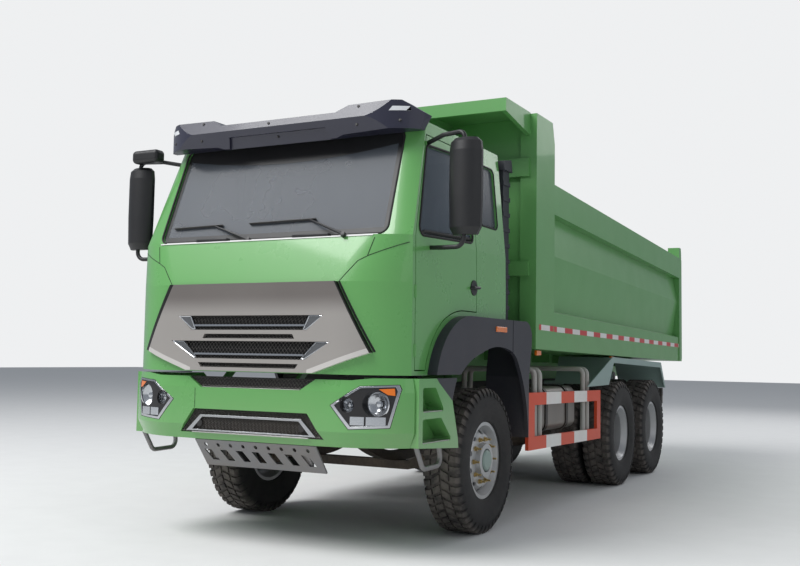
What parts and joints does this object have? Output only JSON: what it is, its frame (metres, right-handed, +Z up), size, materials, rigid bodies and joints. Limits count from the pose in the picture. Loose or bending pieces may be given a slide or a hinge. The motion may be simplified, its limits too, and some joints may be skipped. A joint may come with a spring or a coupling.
{
  "type": "three axle dump truck",
  "caption": "Forward-control dump truck with a tipping box bed, front telescopic hoist, twin rear wheels and a tilting cab",
  "frame": {"origin": "centre of the bounding box at ground level", "axes": "+Z up, -Y to the front of the truck, +X to the truck's left"},
  "size_m": [3.144, 8.23, 3.4998],
  "materials": {
    "cab_paint": "gloss paint",
    "bed_paint": "gloss paint",
    "frame_paint": "satin paint",
    "engine_iron": "rough casting",
    "axle_paint": "satin paint",
    "spring_steel": "satin paint",
    "tank_aluminium": "brushed",
    "guard_orange": "gloss paint",
    "fender_grey": "satin paint",
    "skid_grey": "satin paint",
    "silver_trim": "satin metallic paint",
    "black_mesh": "matt",
    "dark_plastic": "fine grain",
    "lamp_cover": "polished reflectors behind a clear cover",
    "lamp_red": "clear tinted",
    "window_glass": "clear tinted",
    "seat_cloth": "woven",
    "dash_plastic": "fine grain",
    "tyre_rubber": "dusty rubber",
    "rim_silver": "silver paint",
    "hoist_steel": "ground"
  },
  "bodies": {
    "chassis": {"chassis_frame": "frame_paint", "engine_block": "engine_iron", "axles": "axle_paint", "leaf_springs": "spring_steel", "tanks": "tank_aluminium", "side_guards": "guard_orange", "bumper": "cab_paint", "bumper_mesh": "black_mesh", "headlamps": "lamp_cover", "step_boxes": "cab_paint", "loop_steps": "skid_grey", "skid_plate": "skid_grey", "mudguards": "dark_plastic", "rear_fenders": "fender_grey", "rear_lamps": "lamp_red", "air_intake": "dark_plastic"},
    "cab": {"cab_shell": "cab_paint", "cab_glass": "window_glass", "grille_panel": "silver_trim", "grille_mesh": "black_mesh", "visor": "dark_plastic", "arch_flares": "dark_plastic", "wipers": "dark_plastic", "seats": "seat_cloth", "dashboard": "dash_plastic", "beacon": "lamp_red"},
    "bed": {"bed_body": "bed_paint"},
    "rear_gate": {"tailgate": "bed_paint"},
    "hoist_tube": {"hoist_barrel": "frame_paint"},
    "hoist_rod_1": {"hoist_stage_1": "hoist_steel"},
    "hoist_rod_2": {"hoist_stage_2": "hoist_steel"},
    "hoist_rod_3": {"hoist_stage_3": "hoist_steel"},
    "left_door": {"door_left": "cab_paint", "door_glass_left": "window_glass", "mirror_left": "dark_plastic"},
    "left_knuckle": {"knuckle_left": "axle_paint"},
    "front_left_wheel": {"front_tyre_left": "tyre_rubber", "front_rim_left": "rim_silver"},
    "rear_left_wheels_1": {"rear_tyres_left_1": "tyre_rubber", "rear_rims_left_1": "rim_silver"},
    "rear_left_wheels_2": {"rear_tyres_left_2": "tyre_rubber", "rear_rims_left_2": "rim_silver"},
    "right_door": {"door_right": "cab_paint", "door_glass_right": "window_glass", "mirror_right": "dark_plastic"},
    "right_knuckle": {"knuckle_right": "axle_paint"},
    "front_right_wheel": {"front_tyre_right": "tyre_rubber", "front_rim_right": "rim_silver"},
    "rear_right_wheels_1": {"rear_tyres_right_1": "tyre_rubber", "rear_rims_right_1": "rim_silver"},
    "rear_right_wheels_2": {"rear_tyres_right_2": "tyre_rubber", "rear_rims_right_2": "rim_silver"}
  },
  "joints": [
    {"name": "cab_tilt", "type": "hinge", "parent": "chassis", "child": "cab", "pos_m": [0, -4.005, 1.1], "axis": [1, 0, 0], "range_deg": [0, 50]},
    {"name": "bed_tip", "type": "hinge", "parent": "chassis", "child": "bed", "pos_m": [0, 3.475, 1.13], "axis": [-1, 0, 0], "range_deg": [0, 48]},
    {"name": "gate_swing", "type": "hinge", "parent": "bed", "child": "rear_gate", "pos_m": [0, 4.035, 2.84], "axis": [1, 0, 0], "range_deg": [0, 60]},
    {"name": "left_door_swing", "type": "hinge", "parent": "cab", "child": "left_door", "pos_m": [1.17, -3.821, 1.6], "axis": [0, 0, -1], "range_deg": [0, 70]},
    {"name": "left_steer", "type": "hinge", "parent": "chassis", "child": "left_knuckle", "pos_m": [0.82, -2.525, 0.56], "axis": [0, 0, 1], "range_deg": [-35, 35]},
    {"name": "front_left_wheel_spin", "type": "hinge", "parent": "left_knuckle", "child": "front_left_wheel", "pos_m": [1.011, -2.525, 0.56], "axis": [1, 0, 0], "continuous": true},
    {"name": "rear_left_wheels_1_spin", "type": "hinge", "parent": "chassis", "child": "rear_left_wheels_1", "pos_m": [0.915, 1.075, 0.56], "axis": [1, 0, 0], "continuous": true},
    {"name": "rear_left_wheels_2_spin", "type": "hinge", "parent": "chassis", "child": "rear_left_wheels_2", "pos_m": [0.915, 2.425, 0.56], "axis": [1, 0, 0], "continuous": true},
    {"name": "right_door_swing", "type": "hinge", "parent": "cab", "child": "right_door", "pos_m": [-1.17, -3.821, 1.6], "axis": [0, 0, 1], "range_deg": [0, 70]},
    {"name": "right_steer", "type": "hinge", "parent": "chassis", "child": "right_knuckle", "pos_m": [-0.82, -2.525, 0.56], "axis": [0, 0, 1], "range_deg": [-35, 35]},
    {"name": "front_right_wheel_spin", "type": "hinge", "parent": "right_knuckle", "child": "front_right_wheel", "pos_m": [-1.011, -2.525, 0.56], "axis": [1, 0, 0], "continuous": true},
    {"name": "rear_right_wheels_1_spin", "type": "hinge", "parent": "chassis", "child": "rear_right_wheels_1", "pos_m": [-0.915, 1.075, 0.56], "axis": [1, 0, 0], "continuous": true},
    {"name": "rear_right_wheels_2_spin", "type": "hinge", "parent": "chassis", "child": "rear_right_wheels_2", "pos_m": [-0.915, 2.425, 0.56], "axis": [1, 0, 0], "continuous": true},
    {"name": "hoist_lean", "type": "hinge", "parent": "chassis", "child": "hoist_tube", "pos_m": [0, -1.925, 0.9], "axis": [-1, 0, 0], "range_deg": [0, 28.4]},
    {"name": "hoist_reach_1", "type": "slide", "parent": "hoist_tube", "child": "hoist_rod_1", "axis": [0, 0.0171, 0.9999], "range_m": [0, 1.4185]},
    {"name": "hoist_reach_2", "type": "slide", "parent": "hoist_rod_1", "child": "hoist_rod_2", "axis": [0, 0.0171, 0.9999], "range_m": [0, 1.4185]},
    {"name": "hoist_reach_3", "type": "slide", "parent": "hoist_rod_2", "child": "hoist_rod_3", "axis": [0, 0.0171, 0.9999], "range_m": [0, 1.4185]}
  ],
  "couplings": [
    {"joint": "right_steer", "follows": "left_steer", "ratio": 1},
    {"joint": "hoist_lean", "follows": "bed_tip", "ratio": 0.58944},
    {"joint": "hoist_reach_1", "follows": "bed_tip", "m_per_rad": 1.6928},
    {"joint": "hoist_reach_2", "follows": "bed_tip", "m_per_rad": 1.6928},
    {"joint": "hoist_reach_3", "follows": "bed_tip", "m_per_rad": 1.6928}
  ]
}
